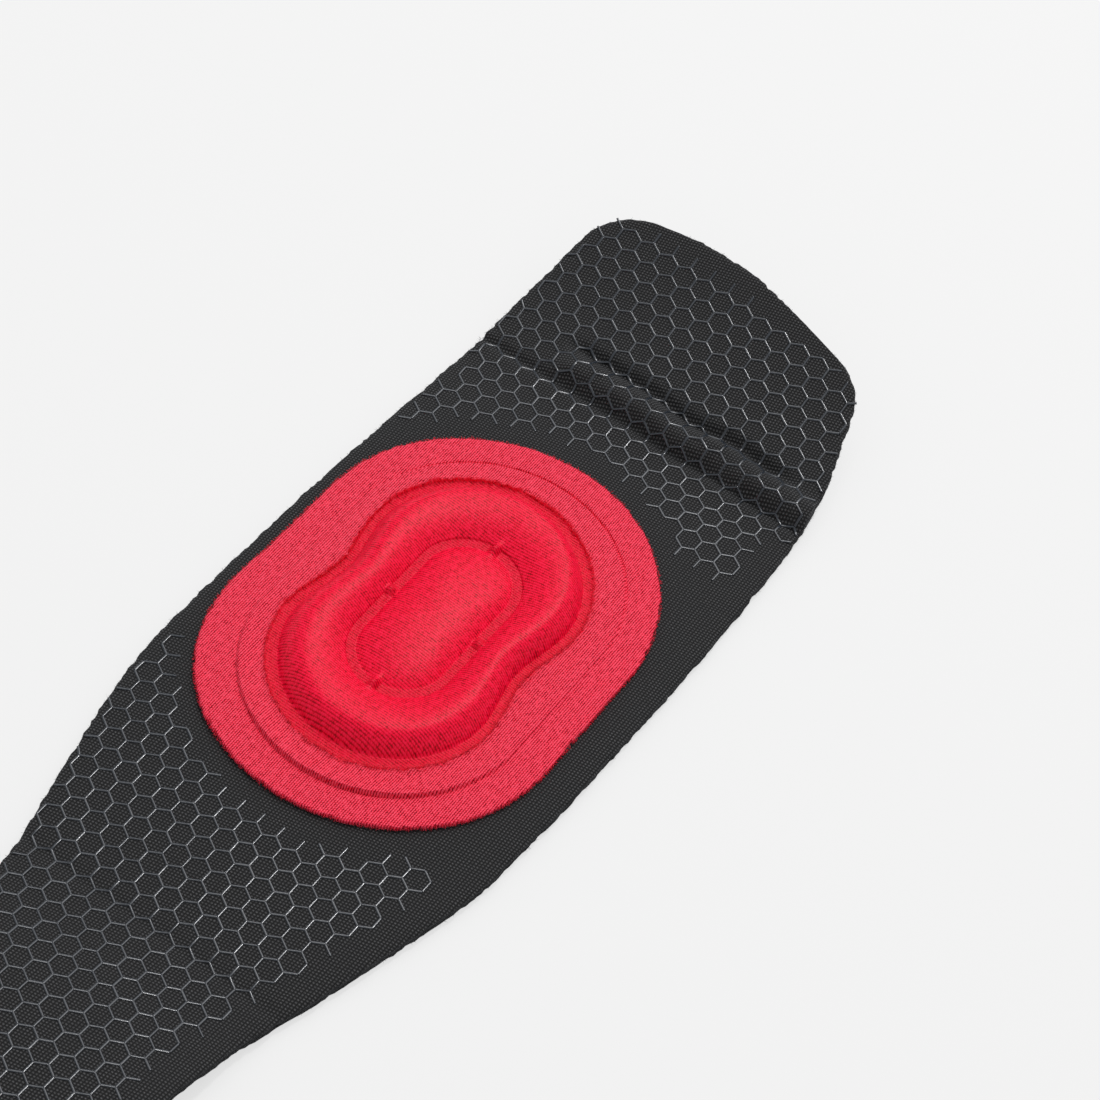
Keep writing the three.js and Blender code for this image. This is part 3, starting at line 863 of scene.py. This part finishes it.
def printed(place):
    """True where the print covers the skin side."""
    s, t = place[:, 0], place[:, 1]
    left, right = half_width(s, True), half_width(s, False)
    past_fold = s > FOLD_AT - FOLD_SIDE_STARTS
    tail_side = s < -PAD[0] + TAIL_SIDE_STARTS
    right_gap = np.where(tail_side, RIGHT_CLEARANCE, RIGHT_CLEARANCE_AT_FOLD)
    right_gap = np.where(past_fold, OVER_THE_EDGE, right_gap)
    left_gap = np.where(past_fold | tail_side, OVER_THE_EDGE, LEFT_CLEARANCE_AT_FOLD)
    inside = (t < left - left_gap) & (t > -(right - right_gap))
    inside &= (left - t > LEAST_TO_EDGE) & (right + t > LEAST_TO_EDGE)
    away = pad_distance(s, t) > PAD_CLEARANCE
    away &= (np.abs(s) >= PAD[0] - BESIDE_PAD) | (t >= 0)
    end = bowed(np.full_like(s, FLAP_END), np.where(t > 0, t / left, t / right))
    end = end - np.where(t > 0, END_CLEARANCE_LEFT, END_CLEARANCE_RIGHT)
    before_end = s < end - corner_cut(np.minimum(left - t, right + t), END_CORNER) * END_CORNER_SHARE
    return inside & away & before_end & (s > HOOK_NEAR + HOOK_CLEARANCE)


def make_print():
    starts, ends = (warped(flat) for flat in print_ends())
    keep = printed((starts + ends) / 2)
    starts, ends = starts[keep], ends[keep]
    for group in (starts, ends):
        lowest = LINE_INSET - half_width(group[:, 0], False)
        highest = half_width(group[:, 0], True) - LINE_INSET
        group[:, 1] = np.clip(group[:, 1], lowest, highest)
    rng = np.random.default_rng(LINE_SEED)
    width = LINE_WIDTH * rng.uniform(*LINE_WIDTH_SPREAD, len(starts))
    points, faces, rounded = ribs(starts, ends, width, LINE_HEIGHT)
    return make_object("grip_print", points, faces, smooth=rounded)


# Hook fastener

def hook_points(station, across, lean):
    """Points of one hook, whose tip leans toward the flap (1) or the tail (-1)."""
    along, rise = HOOK_OUTLINE.T
    lift = HOOK_BASE + (HOOK_TOP - HOOK_BASE) * rise
    asides = (-HOOK_HALF_DEPTH, HOOK_HALF_DEPTH)
    return np.concatenate([skin_point(station + lean * along, across + aside, lift) for aside in asides])


def hook_faces(first, lean):
    near_side = first + np.arange(len(HOOK_OUTLINE))
    far_side = near_side + len(HOOK_OUTLINE)
    faces = wall_faces(near_side, far_side) + [near_side[::-1].tolist(), far_side.tolist()]
    return faces if lean < 0 else [face[::-1] for face in faces]


def make_hooks():
    stations = np.concatenate([
        HOOK_FAR + crowded(HOOK_CORNER, HOOK_CORNER_STEPS),
        np.linspace(HOOK_FAR + HOOK_CORNER, HOOK_NEAR - HOOK_CORNER, HOOK_STEPS),
        (HOOK_NEAR - crowded(HOOK_CORNER, HOOK_CORNER_STEPS))[::-1],
    ])
    station, share = np.meshgrid(stations, np.linspace(-1, 1, HOOK_COLUMNS), indexing="ij")
    to_end = np.minimum(station - HOOK_FAR, HOOK_NEAR - station)
    across = share * (HOOK_WIDTH / 2 - corner_cut(to_end, HOOK_CORNER))
    rows, columns = station.shape
    count = rows * columns
    points = [skin_point(station, across, lift).reshape(-1, 3) for lift in (HOOK_BASE, HOOK_UNDER)]
    faces = grid_faces(rows, columns) + grid_faces(rows, columns, first=count, turned=True)
    loop = border_loop(rows, columns)
    faces += wall_faces(loop, loop + count)
    first = 2 * count
    for row, s in enumerate(np.arange(HOOK_FAR + HOOK_FIRST, HOOK_NEAR - HOOK_MARGIN, HOOK_PITCH)):
        limit = HOOK_WIDTH / 2 - HOOK_MARGIN - corner_cut(min(s - HOOK_FAR, HOOK_NEAR - s), HOOK_CORNER)
        lean = 1 if row % 2 else -1
        for t in np.arange(-limit, limit, HOOK_PITCH * HOOK_SPACING):
            points.append(hook_points(s, t, lean))
            faces += hook_faces(first, lean)
            first += len(points[-1])
    return make_object("hook_field", np.concatenate(points), faces, smooth=False)


# Loose fibres at cut edges and at the weld

def make_fibres(name, roots, outward, lifts, count, length, seed, thickness):
    """Short bent fibres that start on a line of roots and point outwards."""
    rng = np.random.default_rng(seed)
    pick = rng.integers(0, len(roots), count)
    root = roots[pick] + rng.uniform(-FIBRE_ROOT_SPREAD, FIBRE_ROOT_SPREAD, (count, 2))
    reach = rng.uniform(*FIBRE_REACH, count) * length
    spread = rng.normal(0, FIBRE_LEAN, count)
    out = outward[pick]
    side = np.stack([-out[:, 1], out[:, 0]], -1)
    lean = unit(out + side * spread[:, None])
    rise = rng.uniform(*FIBRE_RISE, count) * reach
    lift = lifts[0] + rng.uniform(0, 1, count) * (lifts[1] - lifts[0])
    thick = rng.uniform(*thickness, count)
    points = []
    for share, narrow in FIBRE_STOPS:
        bend = side * (spread * FIBRE_BEND * share**2 * reach)[:, None]
        middle = root + lean * (reach * share)[:, None] + bend
        for turn in FIBRE_SIDES:
            spot = middle + side * (np.cos(turn) * thick * narrow)[:, None]
            height = lift + rise * share + np.sin(turn) * thick * narrow
            points.append(skin_point(spot[:, 0], spot[:, 1], height))
    faces = repeated(tube_faces(len(FIBRE_STOPS), len(FIBRE_SIDES)), len(points), count)
    return make_object(name, np.stack(points, 1).reshape(-1, 3), faces)


# Materials

# Knitted cloth: the pitch of its rows and of the stitches in them, and the shift from row to row
BLACK_KNIT = (0.585, 0.556, 0.257)
RIM_CLOTH = (0.41, 0.455, 0.5)
MOULDED_CLOTH = (0.476, 0.4, 0.45)
ROW_WANDER = 0.3
STITCH_WANDER = 0.4
# Relief of the red cloth: its grain beside the stitches, the share of broad grain, and the depth
# on the rim with what it loses where it is moulded and gains in hollows
RED_GRAIN = 1.25
PATCHY_SHARE = 0.6
RIM_DEPTH = 0.8
MOULDED_LOSS = 0.5
HOLLOW_GAIN = 0.45

# Colour ramps: the place and the colour of each stop
KNIT_TONES = [
    (0.0, (0.001, 0.001, 0.001)),
    (0.2, (0.01, 0.01, 0.01)),
    (0.6, (0.045, 0.045, 0.046)),
    (1.0, (0.15, 0.15, 0.153)),
]
SILICONE_TONES = [(0.3, (0.008, 0.012, 0.018)), (0.7, (0.024, 0.03, 0.04))]
# The rim's ramp is paler and pinker than the moulded one: a painted sheen over the stitches' own reds
RIM_TONES_WITH_PAINTED_SHEEN = [(0.12, (0.2, 0.0, 0.006)), (0.36, (0.95, 0.01, 0.04)), (0.72, (1.0, 0.08, 0.145))]
MOULDED_TONES = [(0.14, (0.26, 0.0, 0.005)), (0.46, (0.88, 0.0, 0.026)), (0.8, (1.0, 0.012, 0.068))]
WELD_TONES = [(0.3, (0.4, 0.001, 0.012)), (0.7, (1.0, 0.04, 0.08))]
HOOK_TONES = [(0.3, (0.008, 0.008, 0.009)), (0.8, (0.03, 0.03, 0.033))]

# Colours that are laid over the ramps
DUSTY_BLACK = (0.018, 0.018, 0.021)
CUT_BLACK = (0.012, 0.012, 0.013)
# Painted shade for the recessed floors of the groove and channel
SHADED_HOLLOW_RED = (0.52, 0.001, 0.014)
WORN_RED = (0.85, 0.03, 0.08)
COOL_SHEEN = (0.75, 0.8, 0.9, 1)
WARM_SHEEN = (1.0, 0.7, 0.75, 1)
FLOOR_GREY = (0.22, 0.22, 0.22, 1)
WHITE = (1, 1, 1, 1)


class Nodes:
    """Small builder for a material's nodes."""

    def __init__(self, name):
        self.material = bpy.data.materials.new(name)
        self.material.use_nodes = True
        self.tree = self.material.node_tree
        self.tree.nodes.clear()
        output = self.tree.nodes.new("ShaderNodeOutputMaterial")
        self.shader = self.tree.nodes.new("ShaderNodeBsdfPrincipled")
        self.tree.links.new(self.shader.outputs[0], output.inputs[0])

    def feed(self, socket, value):
        if hasattr(value, "links"):
            self.tree.links.new(value, socket)
        else:
            socket.default_value = value

    def node(self, kind, values=None, **settings):
        made = self.tree.nodes.new(kind)
        for key, value in settings.items():
            setattr(made, key, value)
        for key, value in (values or {}).items():
            self.feed(made.inputs[key], value)
        return made

    def math(self, operation, a, b=0.0, c=0.0):
        return self.node("ShaderNodeMath", {0: a, 1: b, 2: c}, operation=operation).outputs[0]

    def plus(self, a, b):
        return self.math("ADD", a, b)

    def less(self, a, b):
        return self.math("SUBTRACT", a, b)

    def times(self, a, b):
        return self.math("MULTIPLY", a, b)

    def scaled(self, value, factor, added):
        return self.math("MULTIPLY_ADD", value, factor, added)

    def ramp(self, value, stops):
        made = self.node("ShaderNodeValToRGB", {0: value})
        while len(made.color_ramp.elements) < len(stops):
            made.color_ramp.elements.new(0.5)
        for element, (place, colour) in zip(made.color_ramp.elements, stops):
            element.position = place
            element.color = (*colour, 1)
        return made.outputs[0]

    def mixed(self, share, a, b):
        return self.node("ShaderNodeMix", {0: share, 6: a, 7: b}, data_type="RGBA").outputs[2]

    def tinted(self, tone, mark, share, colour):
        """A tone with a share of another colour where the mark is 1."""
        if not hasattr(colour, "links"):
            colour = (*colour, 1)
        return self.mixed(self.times(mark, share), tone, colour)

    def noise(self, vector, scale, detail=2.0, rough=0.5):
        values = {"Vector": vector, "Scale": scale, "Detail": detail, "Roughness": rough}
        return self.node("ShaderNodeTexNoise", values).outputs[0]

    def place_in_metres(self):
        return self.node("ShaderNodeNewGeometry").outputs["Position"]

    def cloth_place(self):
        """Distances along and across the band in millimetres, from the cloth map."""
        uv = self.node("ShaderNodeUVMap", uv_map="cloth").outputs[0]
        values = {0: uv, 1: (MAP_UNIT, MAP_UNIT, MAP_UNIT)}
        place = self.node("ShaderNodeVectorMath", values, operation="MULTIPLY").outputs[0]
        parts = self.node("ShaderNodeSeparateXYZ", {0: place})
        return place, parts.outputs[0], parts.outputs[1]

    def mark(self, name):
        return self.node("ShaderNodeAttribute", attribute_name=name).outputs["Fac"]

    def bump(self, height, distance, strength):
        values = {"Height": height, "Distance": distance * MM, "Strength": strength}
        self.feed(self.shader.inputs["Normal"], self.node("ShaderNodeBump", values).outputs[0])

    def set(self, **values):
        for key, value in values.items():
            self.feed(self.shader.inputs[key.replace("_", " ")], value)


def stitches(m, along, across, cloth, wander):
    """Rows of stitches: the ridge of each row, and the swell of each stitch in it, from 0 to 1."""
    row_pitch, stitch_pitch, row_shift = cloth
    row = m.plus(m.times(across, 1 / row_pitch), m.times(wander, ROW_WANDER))
    number = m.math("FLOOR", row)
    ridge = m.math("SINE", m.times(m.less(row, number), math.pi))
    place = m.plus(m.times(along, 1 / stitch_pitch), m.times(number, row_shift))
    place = m.plus(place, m.times(wander, STITCH_WANDER))
    wave = m.math("SINE", m.times(place, 2 * math.pi))
    return ridge, m.scaled(wave, 0.5, 0.5)


def knit_material():
    """Grey flecked stitches over black, and a darker cut edge."""
    m = Nodes("black_knit")
    place, s, t = m.cloth_place()
    ridge, dash = stitches(m, s, t, BLACK_KNIT, wander=m.noise(place, scale=0.9, detail=1.0))
    stitch = m.times(m.math("POWER", ridge, 0.8), m.scaled(dash, factor=0.75, added=0.25))
    fleck = m.noise(place, scale=3.2, rough=0.6)
    fine = m.times(stitch, m.scaled(fleck, factor=1.1, added=0.25))
    dust = m.noise(place, scale=0.12)
    tone = m.tinted(m.ramp(fine, KNIT_TONES), dust, share=0.2, colour=DUSTY_BLACK)
    wall = m.math("COMPARE", m.mark("zone"), WALL_ZONE, 0.3)
    tone = m.tinted(tone, wall, share=0.55, colour=CUT_BLACK)
    m.set(Base_Color=tone, Roughness=0.85, Sheen_Weight=0.06, Sheen_Roughness=0.5)
    m.set(Sheen_Tint=COOL_SHEEN, Specular_IOR_Level=0.25)
    m.bump(fine, distance=0.2, strength=1.0)
    return m.material


def print_material():
    """Dark glossy silicone, patchy enough that glints come in short stretches."""
    m = Nodes("grip_silicone")
    spot = m.place_in_metres()
    speck = m.noise(spot, scale=2600, rough=0.7)
    rough = m.times(m.noise(spot, scale=900, detail=3.0, rough=0.8), 0.5)
    m.set(Base_Color=m.ramp(speck, SILICONE_TONES), Roughness=rough, Specular_IOR_Level=0.75)
    m.bump(speck, distance=0.012, strength=0.6)
    return m.material


def red_material(name):
    """Red knit: rows along the band on the flat rim, and rows across it where it is moulded."""
    m = Nodes(name)
    place, s, t = m.cloth_place()
    moulded, hollow, weld = m.mark("moulded"), m.mark("hollow"), m.mark("weld")
    wander = m.noise(place, scale=0.35, detail=1.0)
    ridge, dash = stitches(m, s, t, RIM_CLOTH, wander)
    rim_rows = m.times(ridge, m.scaled(dash, factor=0.5, added=0.5))
    course, loop = stitches(m, t, s, MOULDED_CLOTH, wander)
    moulded_rows = m.plus(m.times(course, m.scaled(loop, factor=0.25, added=0.35)), 0.2)
    rows = m.plus(rim_rows, m.times(moulded, m.less(moulded_rows, rim_rows)))
    coarse = m.noise(place, scale=2.2, detail=3.0, rough=0.7)
    patchy = m.noise(place, scale=0.9, rough=0.6)
    grain = m.plus(m.less(coarse, 0.5), m.times(m.less(patchy, 0.5), PATCHY_SHARE))
    relief = m.plus(rows, m.times(grain, RED_GRAIN))
    depth = m.less(RIM_DEPTH, m.times(moulded, MOULDED_LOSS))
    depth = m.plus(depth, m.times(hollow, HOLLOW_GAIN))
    # The rim's ramp carries a painted sheen that the moulded zone's ramp lacks
    tone = m.mixed(moulded, m.ramp(relief, RIM_TONES_WITH_PAINTED_SHEEN), m.ramp(relief, MOULDED_TONES))
    # Painted shade: the floors of the groove and channel are darkened toward a deeper red
    tone = m.tinted(tone, hollow, share=0.3, colour=SHADED_HOLLOW_RED)
    tone = m.tinted(tone, weld, share=0.35, colour=m.ramp(coarse, WELD_TONES))
    tone = m.tinted(tone, m.noise(place, scale=0.1), share=0.06, colour=WORN_RED)
    m.set(Base_Color=tone, Roughness=0.38, Sheen_Weight=0.08, Sheen_Roughness=0.3)
    m.set(Sheen_Tint=WARM_SHEEN, Specular_IOR_Level=0.14)
    m.bump(m.times(relief, depth), distance=0.14, strength=0.9)
    return m.material


def hook_material():
    m = Nodes("hook_plastic")
    speck = m.noise(m.place_in_metres(), scale=900, rough=0.6)
    m.set(Base_Color=m.ramp(speck, HOOK_TONES), Roughness=m.scaled(speck, factor=0.3, added=0.3))
    m.bump(speck, distance=0.08, strength=0.4)
    return m.material


def floor_material():
    m = Nodes("pale_floor")
    m.set(Base_Color=FLOOR_GREY, Roughness=0.9, Specular_IOR_Level=0.0)
    m.set(Emission_Color=WHITE, Emission_Strength=0.67)
    return m.material


# The scene

def declare(piece, material, slot, *nodes):
    piece.data.materials.append(material)
    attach(piece, "root")
    if nodes:
        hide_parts(*nodes)


band, band_area, band_edge, band_outward = make_band()
black_knit = knit_material()
declare(band, black_knit, "knit", "band")

pad, pad_rings = make_pad()
pad_nodes = ["pad_patch", "ring_cushion", "core_cushion"] + [f"bridge_tab_{k}" for k in range(1, 5)]
declare(pad, red_material("red_pad_cloth"), "pad_cloth", *pad_nodes)

declare(make_print(), print_material(), "grip_print")
declare(make_hooks(), hook_material(), "hook", "hook_tab")

# Fibres: heights over the skin side, count, length, seed and thickness
EDGE_FIBRES = ((-2.2, -0.1), 5200, 0.55, 51, (0.018, 0.034))
WELD_FIBRES = ((FLOOR + 0.2, FLOOR + 0.8), 2600, 0.7, 52, (0.04, 0.09))
PATCH_FIBRES = ((0.3, FLOOR - 0.1), 2600, 0.5, 53, (0.03, 0.07))

declare(make_fibres("edge_fibres", band_edge, band_outward, *EDGE_FIBRES), black_knit, "knit")
red_fibre = red_material("red_fibre")
weld_line = pad_rings[CHANNEL_LOOP]
declare(make_fibres("weld_fibres", weld_line, -unit(weld_line), *WELD_FIBRES), red_fibre, "pad_cloth")
pad_edge = pad_rings[PAD_LOOP]
declare(make_fibres("patch_fibres", pad_edge, unit(pad_edge), *PATCH_FIBRES), red_fibre, "pad_cloth")

# Floor, in metres, just under the strap
FLOOR_HALF = 3.0
FLOOR_DROP = 0.0003
corner_signs = ((-1, -1), (1, -1), (1, 1), (-1, 1))
floor_mesh = bpy.data.meshes.new("floor")
floor_mesh.from_pydata([(i * FLOOR_HALF, j * FLOOR_HALF, 0) for i, j in corner_signs], [], [(0, 1, 2, 3)])
floor = bpy.data.objects.new("floor", floor_mesh)
floor.location.z = -FLOOR_DROP
floor.data.materials.append(floor_material())
bpy.context.scene.collection.objects.link(floor)

# Light: the direction from the pad, the distance and size in metres, and the power in watts
WORLD_STRENGTH = 0.5
KEY_LIGHT = ((0.6, 0.04, 0.82), 0.9, 0.75, 3.1)
GLINT_LIGHT = ((0.41, 0.03, 0.91), 2.5, 0.2, 18)
CENTRE = Vector((PAD_CENTRE * MM).tolist())


def soft_light(name, direction, distance, size, power):
    data = bpy.data.lights.new(name, "AREA")
    data.shape = "SQUARE"
    data.size = size
    data.energy = power
    lamp = bpy.data.objects.new(name, data)
    towards = Vector(direction).normalized()
    lamp.location = CENTRE + towards * distance
    lamp.rotation_euler = towards.to_track_quat("Z", "Y").to_euler()
    bpy.context.scene.collection.objects.link(lamp)


world = bpy.data.worlds.new("studio")
bpy.context.scene.world = world
world.use_nodes = True
world.node_tree.nodes["Background"].inputs[0].default_value = WHITE
world.node_tree.nodes["Background"].inputs[1].default_value = WORLD_STRENGTH
soft_light("key", *KEY_LIGHT)
soft_light("glint", *GLINT_LIGHT)

# Camera, where the photo was taken from
CAMERA_FROM_PAD = Vector((-257.47, -142.66, 415.37 + BAND_THICKNESS)) * MM
CAMERA_AZIMUTH = math.radians(-154.18)
CAMERA_ELEVATION = math.radians(52.84)
CAMERA_ROLL = math.radians(11.73)
CAMERA_LENS = 98.18
CAMERA_SENSOR = 36

back = Vector((
    math.cos(CAMERA_ELEVATION) * math.cos(CAMERA_AZIMUTH),
    math.cos(CAMERA_ELEVATION) * math.sin(CAMERA_AZIMUTH),
    math.sin(CAMERA_ELEVATION),
))
level_right = Vector((0, 0, 1)).cross(back).normalized()
level_up = back.cross(level_right)
right = level_right * math.cos(CAMERA_ROLL) + level_up * math.sin(CAMERA_ROLL)
up = level_up * math.cos(CAMERA_ROLL) - level_right * math.sin(CAMERA_ROLL)
camera_data = bpy.data.cameras.new("camera")
camera_data.lens = CAMERA_LENS
camera_data.sensor_width = CAMERA_SENSOR
camera = bpy.data.objects.new("camera", camera_data)
turn = Matrix((right, up, back)).transposed().to_4x4()
camera.matrix_world = Matrix.Translation(CENTRE + CAMERA_FROM_PAD) @ turn
bpy.context.scene.collection.objects.link(camera)
bpy.context.scene.camera = camera
bpy.context.scene.view_settings.view_transform = "Standard"
